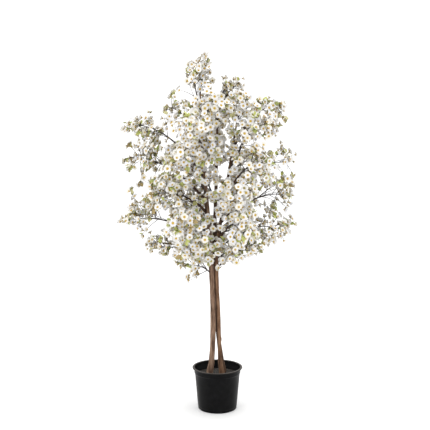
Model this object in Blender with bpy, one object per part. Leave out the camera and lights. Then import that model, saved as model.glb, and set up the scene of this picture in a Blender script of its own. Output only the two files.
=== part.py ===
"""Artificial almond blossom tree, about 1.75 m tall, in a black nursery pot.

Three real-wood poles stand in a filled pot. Boughs and sprays of silk blossom leave them in
tiers. Metres, +Z up, origin at the centre of the pot's flat underside, front towards -Y.
Every spray is one closed solid: a three-sided stem, side twigs, blossoms and leaves, joined.
"""

import math
import random
from collections import namedtuple

import bmesh
import bpy
from mathutils import Vector
from mathutils.bvhtree import BVHTree

TOUCHING_GAP = 0.0003
UP = Vector((0.0, 0.0, 1.0))
SHARP_ANGLE = math.radians(40.0)

# Colour and roughness of each material
MATERIALS = {
    "black_plastic": ((0.012, 0.012, 0.013), 0.42),
    "dark_fill": ((0.035, 0.032, 0.030), 0.95),
    "pole_wood": ((0.19, 0.11, 0.07), 0.80),
    "bough_bark": ((0.06, 0.04, 0.03), 0.75),
    "blossom_white": ((0.85, 0.84, 0.82), 0.70),
}

# Nursery pot, a turned shape
POT_HEIGHT = 0.209
POT_BASE_RADIUS = 0.0965
POT_FOOT_HEIGHT = 0.014
POT_FOOT_STEP = 0.0012
POT_SHOULDER_RADIUS = 0.1125
POT_BAND_RADIUS = 0.1155
POT_BAND_HEIGHT = 0.030
POT_LIP_RADIUS = 0.125
POT_LIP_HEIGHT = 0.006
POT_WALL = 0.0025
POT_EDGE = 0.003
POT_SEGMENTS = 32
FILL_BELOW_RIM = 0.040
FILL_TOP = POT_HEIGHT - FILL_BELOW_RIM

# Poles: (height, x, y, diameter) at the foot, the knee, the waist, the fork and the crown
STEM_SIDES = 10
STEM_RINGS = 13
FLARE_DETAIL = 1.25
STEM_STATIONS = {
    "stem_left": (
        (FILL_TOP + TOUCHING_GAP, -0.041, -0.006, 0.036),
        (0.25, -0.027, -0.004, 0.027),
        (0.48, -0.0215, 0.000, 0.027),
        (0.70, -0.030, 0.000, 0.024),
        (0.88, -0.041, -0.004, 0.026),
        (1.20, -0.066, -0.010, 0.017),
        (1.56, -0.083, -0.012, 0.007),
    ),
    "stem_right": (
        (FILL_TOP + TOUCHING_GAP, 0.024, -0.014, 0.031),
        (0.25, 0.013, -0.010, 0.021),
        (0.48, 0.0065, -0.006, 0.017),
        (0.70, -0.003, -0.008, 0.016),
        (0.88, 0.008, -0.014, 0.016),
        (1.15, 0.050, -0.024, 0.013),
        (1.40, 0.090, -0.030, 0.007),
    ),
    "stem_back": (
        (FILL_TOP + TOUCHING_GAP, 0.032, 0.034, 0.030),
        (0.27, 0.015, 0.028, 0.023),
        (0.45, -0.004, 0.025, 0.021),
        (0.65, -0.014, 0.026, 0.020),
        (0.88, -0.014, 0.034, 0.018),
        (1.20, -0.004, 0.040, 0.014),
        (1.50, 0.000, 0.036, 0.007),
    ),
}

# The crown, tier by tier from the bottom: the height at which its sprays leave the poles, the
# height and the reach of their tips on the left, on the right and in depth, how many sprays,
# the turn of the first in degrees and how many of them start with a bough.
Tier = namedtuple(
    "Tier",
    "start tip_left reach_left tip_right reach_right reach_depth sprays first_turn boughs",
)
TIERS = (
    Tier(0.700, 0.720, 0.19, 0.775, 0.14, 0.17, 3, 205, 0),
    Tier(0.770, 0.800, 0.36, 0.830, 0.26, 0.30, 5, 180, 1),
    Tier(0.860, 0.945, 0.48, 0.920, 0.39, 0.40, 6, 180, 3),
    Tier(0.960, 1.090, 0.44, 1.070, 0.38, 0.41, 5, 0, 2),
    Tier(1.060, 1.250, 0.475, 1.230, 0.39, 0.43, 6, 180, 3),
    Tier(1.180, 1.410, 0.475, 1.400, 0.36, 0.39, 5, 170, 2),
    Tier(1.320, 1.500, 0.29, 1.510, 0.34, 0.27, 4, 0, 2),
    Tier(1.450, 1.670, 0.19, 1.620, 0.14, 0.14, 2, 190, 0),
)
# A last spray stands on the tip of each pole: (x, y, height) of its own tip
CROWN_TIPS = {
    "stem_left": (-0.046, -0.015, 1.756),
    "stem_right": (0.200, -0.120, 1.560),
    "stem_back": (0.060, 0.080, 1.640),
}

# How the sprays of a tier differ, and how each one arches from its pole to its tip
PATH_SEED = 7
TIER_START_SPREAD = 0.050
TURN_SPREAD = 9.0
TIP_SPREAD = 0.025
SHORTEST_REACH = 0.92
GOLDEN_SHARE = 0.618
BELOW_STEM_TOP = 0.02
ARCH = 0.13
ARCH_AT = 0.50
ARCH_RISE = 0.80
CROWN_ARCH_RISE = 0.60

# Boughs, the lower part of the larger sprays' paths
BOUGH_SHARE = 0.42
BOUGH_SIDES = 6
BOUGH_STEPS = 4
BOUGH_RADIUS = 0.0080
BOUGH_TIP_RADIUS = 0.0052
THICK_BOUGH = "3_1"
THICK_BOUGH_RADIUS = 0.0115
HIDDEN_ROOT = 0.5

# One spray: sizes of its wire, twigs, blossoms and leaves, larger than life and fewer
SPRAY_SEED = 100
SPINE_STEPS = 6
SPINE_SIDES = 3
SPINE_RADIUS = 0.0046
SPINE_TIP_RADIUS = 0.0024
TWIG_OF_SPINE = 0.46
TWIG_TIP_RADIUS = 0.0013
TWIG_LENGTH = 0.150
TWIG_TIP_SHARE = 0.50
TWIG_KNEE = 0.50
TWIG_END = 0.94
TWIG_RISE = 0.30
TWIG_DROOP = 0.20
TWIG_ANGLE = math.radians(62.0)
TWIG_TRIES = 5
FIRST_TWIG = 0.16
LAST_TWIG = 0.95
SHORTER_TWIGS = (1.0, 0.75, 0.55)
LONGEST_OF_SPINE = 0.6
SPINE_FOR_EACH_TWIG = 0.058
FEWEST_TWIGS = 3
MOST_TWIGS = 6
GOLDEN_TURN = math.radians(137.5)
PETALS = 5
BLOSSOM_RADIUS = 0.051
BLOSSOM_NOTCH = 0.60
BLOSSOM_DEPTH = 0.011
BLOSSOM_SEAT = 0.003
BLOSSOM_OUTWARD = 0.50
BLOSSOM_UPWARD = 0.60
TIP_LEAF = 0.040
TIP_LEAF_LEANS = (0.0, 0.9)
TIP_LEAF_RISE = 0.15
LEAF_LENGTH = 0.075
LEAF_WIDTH = 0.046
LEAF_WIDEST = 0.42
LEAF_FOLD = 0.005
LEAF_FORWARD = 0.60
FAR_SPRAY = 0.9
OWN_SPACE_MARGIN = 0.003
LIMB_CLEARANCE = 0.0012


def clear_scene():
    for item in list(bpy.data.objects):
        bpy.data.objects.remove(item, do_unlink=True)


def principled(name):
    colour, roughness = MATERIALS[name]
    material = bpy.data.materials.new(name)
    material.use_nodes = True
    shader = material.node_tree.nodes["Principled BSDF"]
    shader.inputs["Base Color"].default_value = (*colour, 1.0)
    shader.inputs["Roughness"].default_value = roughness
    shader.inputs["Metallic"].default_value = 0.0
    material.diffuse_color = (*colour, 1.0)
    return material


def object_from(name, points, faces, material=None):
    mesh = bpy.data.meshes.new(name)
    mesh.from_pydata([tuple(point) for point in points], [], faces)
    made = bpy.data.objects.new(name, mesh)
    bpy.context.scene.collection.objects.link(made)
    if material:
        mesh.materials.append(material)
    return made


def shade_round(made):
    made.data.shade_smooth()
    made.data.set_sharp_from_angle(angle=SHARP_ANGLE)


def turned(name, profile, segments, material):
    """A solid of revolution about Z from a closed (radius, height) profile whose ends lie on the axis."""
    points = []
    faces = []
    rings = []
    for radius, height in profile:
        if radius == 0.0:
            rings.append([len(points)])
            points.append(Vector((0.0, 0.0, height)))
            continue
        rings.append(list(range(len(points), len(points) + segments)))
        for step in range(segments):
            turn = 2.0 * math.pi * step / segments
            points.append(Vector((radius * math.cos(turn), radius * math.sin(turn), height)))
    for low, high in zip(rings, rings[1:]):
        for step in range(segments):
            after = (step + 1) % segments
            if len(low) == 1:
                faces.append((low[0], high[after], high[step]))
            elif len(high) == 1:
                faces.append((low[step], low[after], high[0]))
            else:
                faces.append((low[step], low[after], high[after], high[step]))
    shade_round(object_from(name, points, faces, material))


def wall_radius(height):
    """Outer radius of the pot's tapering wall between its foot and its band."""
    low = POT_FOOT_HEIGHT
    high = POT_HEIGHT - POT_BAND_HEIGHT
    share = (height - low) / (high - low)
    start = POT_BASE_RADIUS + POT_FOOT_STEP
    return start + (POT_SHOULDER_RADIUS - start) * share


def inner_radius(height):
    return wall_radius(height) - POT_WALL


def make_pot(material):
    band_low = POT_HEIGHT - POT_BAND_HEIGHT
    lip_low = POT_HEIGHT - POT_LIP_HEIGHT
    outside = [
        (0.0, 0.0),
        (POT_BASE_RADIUS - POT_EDGE, 0.0),
        (POT_BASE_RADIUS, POT_EDGE),
        (POT_BASE_RADIUS, POT_FOOT_HEIGHT - POT_FOOT_STEP),
        (POT_BASE_RADIUS + POT_FOOT_STEP, POT_FOOT_HEIGHT),
        (POT_SHOULDER_RADIUS, band_low),
        (POT_BAND_RADIUS, band_low + POT_EDGE),
        (POT_BAND_RADIUS, lip_low - POT_EDGE / 2),
        (POT_LIP_RADIUS - POT_EDGE / 2, lip_low),
        (POT_LIP_RADIUS, lip_low + POT_EDGE / 2),
        (POT_LIP_RADIUS, POT_HEIGHT - POT_EDGE / 2),
        (POT_LIP_RADIUS - POT_EDGE / 2, POT_HEIGHT),
    ]
    inside = [
        (POT_BAND_RADIUS - POT_WALL, POT_HEIGHT),
        (POT_BAND_RADIUS - POT_WALL, band_low + POT_EDGE),
        (POT_SHOULDER_RADIUS - POT_WALL, band_low),
        (inner_radius(POT_WALL), POT_WALL),
        (0.0, POT_WALL),
    ]
    turned("pot", outside + inside, POT_SEGMENTS, material)


def make_fill(material):
    low = POT_WALL + TOUCHING_GAP
    profile = [
        (0.0, low),
        (inner_radius(low) - 2 * TOUCHING_GAP, low),
        (inner_radius(FILL_TOP) - 2 * TOUCHING_GAP, FILL_TOP),
        (0.0, FILL_TOP),
    ]
    turned("fill", profile, POT_SEGMENTS, material)


def between(stations, height):
    """Smooth (x, y, diameter) of a pole at a height, by a cubic through its stations."""
    heights = [station[0] for station in stations]
    place = 0
    while place < len(stations) - 2 and height > heights[place + 1]:
        place += 1
    first = stations[max(place - 1, 0)]
    low = stations[place]
    high = stations[place + 1]
    last = stations[min(place + 2, len(stations) - 1)]
    step = high[0] - low[0]
    share = (height - low[0]) / step
    result = []
    for value in (1, 2, 3):
        slope_low = (high[value] - first[value]) / (high[0] - first[0]) * step
        slope_high = (last[value] - low[value]) / (last[0] - low[0]) * step
        rise = high[value] - low[value]
        curve = (
            low[value]
            + slope_low * share
            + (3 * rise - 2 * slope_low - slope_high) * share**2
            + (slope_low + slope_high - 2 * rise) * share**3
        )
        result.append(curve)
    return result


def stem_centre(stem, height):
    x, y, _ = between(STEM_STATIONS[stem], height)
    return Vector((x, y, height))


def stem_radius(stem, height):
    return between(STEM_STATIONS[stem], height)[2] / 2


def stem_top(stem):
    return STEM_STATIONS[stem][-1][0]


def stem_shape(stem, grow=0.0):
    """Points and faces of a pole, with level rings; grow makes it that much fatter and longer."""
    stations = STEM_STATIONS[stem]
    low = stations[0][0]
    high = stations[-1][0]
    points = []
    for ring in range(STEM_RINGS):
        height = low + (high - low) * (ring / (STEM_RINGS - 1)) ** FLARE_DETAIL
        centre = stem_centre(stem, height)
        radius = stem_radius(stem, height) + grow / math.cos(math.pi / STEM_SIDES)
        if ring == STEM_RINGS - 1:
            centre.z += grow
        for side in range(STEM_SIDES):
            turn = 2 * math.pi * side / STEM_SIDES
            points.append(centre + Vector((math.cos(turn), math.sin(turn), 0)) * radius)
    return points, tube_faces(STEM_RINGS, STEM_SIDES)


def make_stems(material):
    stems = [object_from(stem, *stem_shape(stem), material) for stem in STEM_STATIONS]
    for made in stems:
        shade_round(made)
    return stems


def tube_faces(rings, sides):
    faces = [tuple(reversed(range(sides)))]
    for ring in range(rings - 1):
        for side in range(sides):
            after = (side + 1) % sides
            low = ring * sides
            high = low + sides
            faces.append((low + side, low + after, high + after, high + side))
    faces.append(tuple(range((rings - 1) * sides, rings * sides)))
    return faces


def tube(line, radii, sides, ways=None):
    """Points and faces of a closed tube along a line, its rings square to the line or to given ways."""
    points = []
    across = None
    for place, centre in enumerate(line):
        before = line[max(place - 1, 0)]
        after = line[min(place + 1, len(line) - 1)]
        along = ways[place] if ways else (after - before).normalized()
        if across is None:
            across = along.orthogonal().normalized()
        across = (across - along * across.dot(along)).normalized()
        other = along.cross(across)
        for side in range(sides):
            turn = 2 * math.pi * side / sides
            out = across * math.cos(turn) + other * math.sin(turn)
            points.append(centre + out * radii[place])
    return points, tube_faces(len(line), sides)


def blossom(centre, facing, radius, turn):
    """A five-petalled blossom: a star with a flat back and a raised heart."""
    side = facing.orthogonal().normalized()
    other = facing.cross(side)
    rim = 2 * PETALS
    points = [centre + facing * BLOSSOM_DEPTH]
    for step in range(rim):
        angle = turn + 2 * math.pi * step / rim
        out = side * math.cos(angle) + other * math.sin(angle)
        reach = radius if step % 2 == 0 else radius * BLOSSOM_NOTCH
        points.append(centre + out * reach)
    faces = [(0, 1 + step, 1 + (step + 1) % rim) for step in range(rim)]
    faces.append(tuple(range(rim, 0, -1)))
    return points, faces


def leaf(root, along, facing, length):
    """A pointed leaf folded along its midrib, of four faces."""
    facing = (facing - along * facing.dot(along)).normalized()
    side = along.cross(facing)
    middle = root + along * length * LEAF_WIDEST - facing * LEAF_FOLD
    width = LEAF_WIDTH * length / LEAF_LENGTH
    points = [root, root + along * length, middle + side * width / 2, middle - side * width / 2]
    return points, [(0, 1, 2), (0, 3, 1), (0, 2, 3), (1, 3, 2)]


def bezier(start, bend, end, share):
    return start * (1 - share) ** 2 + bend * 2 * share * (1 - share) + end * share**2


def bezier_way(start, bend, end, share):
    return ((bend - start) * (1 - share) + (end - bend) * share).normalized()


def direction(turn):
    return Vector((math.cos(turn), math.sin(turn), 0.0))


def outermost_stem(height, turn):
    """The pole that reaches this height and lies furthest out towards this turn."""
    reaching = [stem for stem in STEM_STATIONS if stem_top(stem) > height + BELOW_STEM_TOP]
    return max(reaching, key=lambda stem: stem_centre(stem, height).dot(direction(turn)))


Path = namedtuple("Path", "name stem start bend tip carrier")


def spray_paths():
    """Every spray's path from its pole's axis to its tip, and whether a bough, the pole's side or
    the pole's top carries the spray."""
    chance = random.Random(PATH_SEED)
    paths = []
    for level, tier in enumerate(TIERS, start=1):
        spacing = 360.0 / tier.sprays
        every = tier.sprays / max(tier.boughs, 1)
        with_bough = {math.ceil(every * number) for number in range(tier.boughs)}
        for number in range(tier.sprays):
            main = number == 0
            wander = 0.0 if main else chance.uniform(-TURN_SPREAD, TURN_SPREAD)
            turn = math.radians(tier.first_turn + spacing * number + wander)
            height = tier.start + TIER_START_SPREAD * (number * GOLDEN_SHARE % 1.0 - 0.5)
            stem = outermost_stem(height, turn)
            start = stem_centre(stem, height)
            sideways = math.cos(turn)
            share = sideways**2
            left = sideways < 0
            side_reach = tier.reach_left if left else tier.reach_right
            side_tip = tier.tip_left if left else tier.tip_right
            middle_tip = (tier.tip_left + tier.tip_right) / 2
            reach = side_reach * share + tier.reach_depth * (1 - share)
            tip_height = side_tip * share + middle_tip * (1 - share)
            tip_height += 0.0 if main else chance.uniform(-TIP_SPREAD, TIP_SPREAD)
            reach *= 1.0 if main else chance.uniform(SHORTEST_REACH, 1.0)
            tip = direction(turn) * (reach - TIP_LEAF) + Vector((0, 0, tip_height))
            bend = start.lerp(tip, ARCH_AT)
            bend.z = height + (tip_height - height) * ARCH_RISE + ARCH * reach
            name = f"{level}_{number + 1}"
            carrier = "bough" if number in with_bough else "side"
            paths.append(Path(name, stem, start, bend, tip, carrier))
    for stem, (x, y, z) in CROWN_TIPS.items():
        start = stem_centre(stem, stem_top(stem)) + UP * TOUCHING_GAP
        tip = Vector((x, y, z - TIP_LEAF))
        bend = start + UP * (tip.z - start.z) * CROWN_ARCH_RISE
        paths.append(Path(stem.replace("stem", "crown"), stem, start, bend, tip, "top"))
    return paths


def tapering(first, last, steps):
    return [first + (last - first) * step / steps for step in range(steps + 1)]


def cut_by(made, cutter_shape):
    """Cuts a solid by another, which is removed afterwards."""
    cutter = object_from("cutter", *cutter_shape)
    cutter.hide_render = True
    cutter.display_type = "WIRE"
    cut = made.modifiers.new("saddle", "BOOLEAN")
    cut.operation = "DIFFERENCE"
    cut.solver = "EXACT"
    cut.object = cutter
    apply_modifiers(made)
    bpy.data.objects.remove(cutter, do_unlink=True)


def apply_modifiers(made):
    graph = bpy.context.evaluated_depsgraph_get()
    finished = bpy.data.meshes.new_from_object(made.evaluated_get(graph))
    made.modifiers.clear()
    old = made.data
    made.data = finished
    finished.name = made.name
    bpy.data.meshes.remove(old)


def make_boughs(paths, material):
    """The limbs that carry the larger sprays, each cut to sit 0.3 mm clear of its pole."""
    boughs = []
    for path in paths:
        if path.carrier != "bough":
            continue
        line, ways = stretch(path, 0.0, BOUGH_SHARE, BOUGH_STEPS)
        thick = THICK_BOUGH_RADIUS if path.name == THICK_BOUGH else BOUGH_RADIUS
        radii = tapering(thick, BOUGH_TIP_RADIUS, BOUGH_STEPS)
        radii[0] = stem_radius(path.stem, path.start.z) * HIDDEN_ROOT
        made = object_from("bough_" + path.name, *tube(line, radii, BOUGH_SIDES, ways), material)
        cut_by(made, stem_shape(path.stem, TOUCHING_GAP))
        shade_round(made)
        boughs.append(made)
    return boughs


def stretch(path, first, last, steps):
    """Points and ways of the path between two shares of it."""
    shares = tapering(first, last, steps)
    line = [bezier(path.start, path.bend, path.tip, share) for share in shares]
    ways = [bezier_way(path.start, path.bend, path.tip, share) for share in shares]
    return line, ways


def spine_of(path):
    """Line, ways and radii of a spray's own stem, from its pole's axis or its bough's tip to its end."""
    radii = tapering(SPINE_RADIUS, SPINE_TIP_RADIUS, SPINE_STEPS)
    if path.carrier == "bough":
        line, ways = stretch(path, BOUGH_SHARE, 1.0, SPINE_STEPS)
        line[0] = line[0] + ways[0] * TOUCHING_GAP
    else:
        line, ways = stretch(path, 0.0, 1.0, SPINE_STEPS)
    if path.carrier == "side":
        radii[0] = stem_radius(path.stem, path.start.z) * HIDDEN_ROOT
    return line, ways, radii


def distance_to_line(point, line):
    nearest = math.inf
    for start, end in zip(line, line[1:]):
        along = end - start
        share = max(0.0, min(1.0, (point - start).dot(along) / along.length_squared))
        nearest = min(nearest, (point - start - along * share).length)
    return nearest


def in_own_space(points, number, lines):
    """True if each point is nearer to its own spray's line than to any other spray's."""
    for point in points:
        own = distance_to_line(point, lines[number])
        for other, line in enumerate(lines):
            if other == number or (line[0] - point).length > FAR_SPRAY:
                continue
            if distance_to_line(point, line) < own + OWN_SPACE_MARGIN:
                return False
    return True


def tree_of(shape):
    return BVHTree.FromPolygons(shape[0], shape[1])


def fattened(made, by):
    """The object's shape with every point moved out along its normal."""
    shell = bmesh.new()
    shell.from_mesh(made.data)
    bmesh.ops.recalc_face_normals(shell, faces=shell.faces)
    shell.normal_update()
    points = [vertex.co + vertex.normal * by for vertex in shell.verts]
    faces = [tuple(vertex.index for vertex in face.verts) for face in shell.faces]
    shell.free()
    return points, faces


class Space:
    """Says whether a new piece stays in its spray's space and clear of limbs and other sprays."""

    def __init__(self, lines, limbs):
        self.lines = lines
        self.limbs = [tree_of(fattened(limb, LIMB_CLEARANCE)) for limb in limbs]
        self.taken = [[] for _ in lines]

    def free(self, shape, number):
        if not in_own_space(shape[0], number, self.lines):
            return False
        tree = tree_of(shape)
        if any(tree.overlap(limb) for limb in self.limbs):
            return False
        for other, trees in enumerate(self.taken):
            if other != number and any(tree.overlap(taken) for taken in trees):
                return False
        return True

    def take(self, shape, number):
        self.taken[number].append(tree_of(shape))


def twig_line(base, along, out, length):
    """Three points of a side twig that leaves its spray's stem and droops towards its end."""
    way = along * math.cos(TWIG_ANGLE) + out * math.sin(TWIG_ANGLE) + UP * TWIG_RISE
    way.normalize()
    middle = base + way * length * TWIG_KNEE
    end = base + way * length * TWIG_END - UP * TWIG_DROOP * length
    return [base, middle, end]


def twig_with_blossom(base, along, out, length, radius, turn):
    """Shapes of a side twig and of the blossom on its end."""
    line = twig_line(base, along, out, length)
    last = (line[2] - line[1]).normalized()
    facing = (last + out * BLOSSOM_OUTWARD + UP * BLOSSOM_UPWARD).normalized()
    twig = tube(line, [radius, radius, TWIG_TIP_RADIUS], SPINE_SIDES)
    return [twig, blossom(line[2] - facing * BLOSSOM_SEAT, facing, BLOSSOM_RADIUS, turn)], line


def point_on(line, share):
    """Place on an evenly stepped line, and its way there."""
    place = share * (len(line) - 1)
    step = min(int(place), len(line) - 2)
    return line[step].lerp(line[step + 1], place - step), (line[step + 1] - line[step]).normalized()


def grow_spray(number, spine, space):
    """Shapes of one spray: its stem first, then twigs, blossoms and leaves that keep to its space."""
    line, ways, radii = spine
    chance = random.Random(SPRAY_SEED + number)
    stem = tube(line, radii, SPINE_SIDES, ways)
    space.take(stem, number)
    shapes = [stem]
    length_of_line = sum((b - a).length for a, b in zip(line, line[1:]))
    wanted = round(length_of_line / SPINE_FOR_EACH_TWIG)
    wanted = max(FEWEST_TWIGS, min(MOST_TWIGS, wanted))
    turn = chance.uniform(0, 2 * math.pi)

    def add(*pieces):
        """Takes the pieces into the spray if all of them fit."""
        fits = all(space.free(piece, number) for piece in pieces)
        if fits:
            for piece in pieces:
                space.take(piece, number)
            shapes.extend(pieces)
        return fits

    for grown in range(wanted):
        share = FIRST_TWIG + (LAST_TWIG - FIRST_TWIG) * (grown + 0.5) / wanted
        base, along = point_on(line, share)
        radius = TWIG_OF_SPINE * (SPINE_RADIUS + (SPINE_TIP_RADIUS - SPINE_RADIUS) * share)
        across = along.orthogonal().normalized()
        longest = TWIG_LENGTH * (1 - (1 - TWIG_TIP_SHARE) * share)
        longest = min(longest, length_of_line * LONGEST_OF_SPINE)
        for attempt in range(TWIG_TRIES * len(SHORTER_TWIGS)):
            turn += GOLDEN_TURN
            out = across * math.cos(turn) + along.cross(across) * math.sin(turn)
            length = longest * SHORTER_TWIGS[attempt // TWIG_TRIES]
            pieces, twig = twig_with_blossom(base, along, out, length, radius, turn)
            if add(*pieces):
                way = (twig[1] - twig[0]).normalized()
                side = way.cross(UP).normalized() * (1 if grown % 2 else -1)
                add(leaf(twig[1], (way * LEAF_FORWARD + side).normalized(), UP, LEAF_LENGTH))
                break
    side = ways[-1].cross(UP).normalized()
    for lean in TIP_LEAF_LEANS:
        way = (ways[-1] + side * lean + UP * TIP_LEAF_RISE).normalized()
        add(leaf(line[-1] - ways[-1] * BLOSSOM_SEAT, way, UP, TIP_LEAF + BLOSSOM_SEAT))
    return shapes


def join_spray(path, shapes, material):
    """One closed solid from a spray's shapes: its stem, cut 0.3 mm clear of a pole that it grows
    from the side of, joined by one union with the collection of all its other pieces."""
    name = "spray_" + path.name
    made = object_from(name, *shapes[0], material)
    if path.carrier == "side":
        cut_by(made, stem_shape(path.stem, TOUCHING_GAP))
        keep_largest(made)
    others = bpy.data.collections.new(name + "_pieces")
    bpy.context.scene.collection.children.link(others)
    for number, shape in enumerate(shapes[1:]):
        piece = object_from(f"{name}_piece_{number}", *shape)
        bpy.context.scene.collection.objects.unlink(piece)
        others.objects.link(piece)
    union = made.modifiers.new("join", "BOOLEAN")
    union.operation = "UNION"
    union.solver = "EXACT"
    union.operand_type = "COLLECTION"
    union.collection = others
    apply_modifiers(made)
    for piece in list(others.objects):
        bpy.data.objects.remove(piece, do_unlink=True)
    bpy.data.collections.remove(others)
    keep_largest(made)
    made.data.materials.clear()
    made.data.materials.append(material)


def keep_largest(made):
    """Drops loose scraps and sealed hollows: only the island with the most faces stays."""
    shell = bmesh.new()
    shell.from_mesh(made.data)
    bmesh.ops.triangulate(shell, faces=shell.faces)
    left = set(shell.faces)
    islands = []
    while left:
        island = set()
        edge = [left.pop()]
        while edge:
            face = edge.pop()
            island.add(face)
            for side in face.edges:
                for near in side.link_faces:
                    if near in left:
                        left.discard(near)
                        edge.append(near)
        islands.append(island)
    islands.sort(key=len, reverse=True)
    scraps = [face for island in islands[1:] for face in island]
    bmesh.ops.delete(shell, geom=scraps, context="FACES")
    shell.to_mesh(made.data)
    shell.free()


def main():
    clear_scene()
    make_pot(principled("black_plastic"))
    make_fill(principled("dark_fill"))
    stems = make_stems(principled("pole_wood"))
    paths = spray_paths()
    boughs = make_boughs(paths, principled("bough_bark"))
    spines = [spine_of(path) for path in paths]
    space = Space([line for line, _, _ in spines], stems + boughs)
    silk = principled("blossom_white")
    for number, path in enumerate(paths):
        join_spray(path, grow_spray(number, spines[number], space), silk)


main()
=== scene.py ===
"""Looks of an artificial almond blossom tree in a nursery pot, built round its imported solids.

Metres, +Z up, origin under the pot, front towards -Y. Poles, boughs, pot and fill are replaced by
finer meshes. The sprays keep the paths of their solids, by the same seeded rule, and grow side
twigs, stalks, blossoms and leaves along them. Each kind is joined into a few large pieces.
"""

import math
import random
from collections import namedtuple
from itertools import product

import bpy
import numpy as np
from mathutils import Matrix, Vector, noise


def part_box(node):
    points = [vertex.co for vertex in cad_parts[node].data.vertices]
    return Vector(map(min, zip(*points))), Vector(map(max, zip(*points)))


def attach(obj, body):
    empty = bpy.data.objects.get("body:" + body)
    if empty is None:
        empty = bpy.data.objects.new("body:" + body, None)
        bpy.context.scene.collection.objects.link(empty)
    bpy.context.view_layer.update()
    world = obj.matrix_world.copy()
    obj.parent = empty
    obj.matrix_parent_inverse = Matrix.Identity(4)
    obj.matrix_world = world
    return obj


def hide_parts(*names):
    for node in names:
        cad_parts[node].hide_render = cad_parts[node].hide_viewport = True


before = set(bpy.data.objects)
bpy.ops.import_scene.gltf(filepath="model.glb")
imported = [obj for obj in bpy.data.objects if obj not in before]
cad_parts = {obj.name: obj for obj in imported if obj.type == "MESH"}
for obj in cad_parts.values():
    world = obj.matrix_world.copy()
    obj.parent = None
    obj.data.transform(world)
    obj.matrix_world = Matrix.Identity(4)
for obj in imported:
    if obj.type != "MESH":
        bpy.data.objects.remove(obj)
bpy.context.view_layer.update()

UP = Vector((0.0, 0.0, 1.0))
GOLDEN_TURN = math.radians(137.5)

# Pot and fill
POT_HEIGHT = 0.209
POT_WALL = 0.0025
POT_FOOT_RADIUS = 0.0965
POT_FOOT_HEIGHT = 0.014
POT_FOOT_STEP = 0.0012
POT_FOOT_EDGE = 0.003
POT_SHOULDER_RADIUS = 0.1125
POT_BAND_RADIUS = 0.1155
POT_BAND_HEIGHT = 0.030
POT_BAND_EDGE = 0.002
POT_BAND_RISE = 0.003
POT_LIP_ROLL = 0.0032
POT_LIP_INSET = 0.0015
# Fillet under the lip: how far out of the band and how far below the lip
POT_LIP_FILLET = ((0.0, 0.004), (0.0008, 0.0015))
POT_INNER_EDGE = 0.0025
POT_SEGMENTS = 128
POT_SHARP_ANGLE = math.radians(50)
# Painted highlight along the top of the lip: where it starts below the rim and where it is full
RIM_HIGHLIGHT_HEIGHT = 0.0030
RIM_HIGHLIGHT_FULL = 0.0010
FILL_GAP = 0.0004
FILL_SINK = 0.001
FILL_BASE_RADIUS = 0.093
FILL_RINGS = 44
FILL_SEGMENTS = 120
# Roughness of the fill: heights of its lumps and how many fit in a metre
FILL_LUMPS = ((0.0016, 60), (0.0014, 190), (0.0010, 420))

# Poles and boughs: dark, middle and light brown, and knots by their distance along the pole, their
# turn round it and their size
POLE_BROWNS = {
    "stem_left": ((0.065, 0.038, 0.026), (0.195, 0.124, 0.085), (0.33, 0.235, 0.170)),
    "stem_right": ((0.048, 0.023, 0.013), (0.145, 0.080, 0.046), (0.26, 0.160, 0.095)),
    # The back pole's own browns are darkened with painted shade, for the shade it stands in behind
    # the other two poles
    "stem_back": ((0.028, 0.015, 0.010), (0.080, 0.045, 0.029), (0.14, 0.085, 0.055)),
}
BOUGH_BROWNS = ((0.018, 0.011, 0.008), (0.060, 0.034, 0.024), (0.13, 0.078, 0.052))
POLE_KNOTS = {
    "stem_left": ((0.42, math.pi, 0.003), (0.40, -1.2, 0.0025), (0.24, -1.8, 0.002)),
    "stem_right": ((0.44, 0.3, 0.003), (0.18, 0.0, 0.004), (0.12, -1.0, 0.002)),
    "stem_back": ((0.30, 0.0, 0.0025),),
}
POLE_STEPS = 230
POLE_SIDES = 32
POLE_RELIEF = 0.0010
BOUGH_STEPS = 40
BOUGH_SIDES = 14
BOUGH_RELIEF = 0.0006
BOUGH_RADIUS = 0.0080
THICK_BOUGH = "3_1"
THICK_BOUGH_RADIUS = 0.0115
SAME_HEIGHT = 2e-4
# Ridges, swells and grain of bark: height, fineness round the limb and along it, and shift
BARK_LAYERS = ((0.9, 2.2, 14, 0), (0.9, 1.0, 25, 7), (0.5, 6, 45, 0))
KNOT_SPREAD = 2.2

# Light: name, place, size and power of each lamp, and the white surroundings
LIGHTS = (
    ("key", (-2.4, -3.0, 3.0), 1.8, 18.0),
    ("side", (2.8, -1.6, 2.2), 1.6, 9.0),
    ("top", (0.0, 0.5, 4.2), 2.5, 40.0),
)
LIGHT_TARGET = Vector((0, 0, 0.9))
SURROUNDINGS = 1.27
FLOOR_HALF_SIZE = 30.0
FLOOR_SINK = 0.001

# Camera, fitted to the ellipses of the pot's rim and base
CAMERA_PLACE = (-0.012, -3.55, 1.28)
CAMERA_PITCH = math.radians(5.0)
CAMERA_LENS = 60.7

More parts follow.
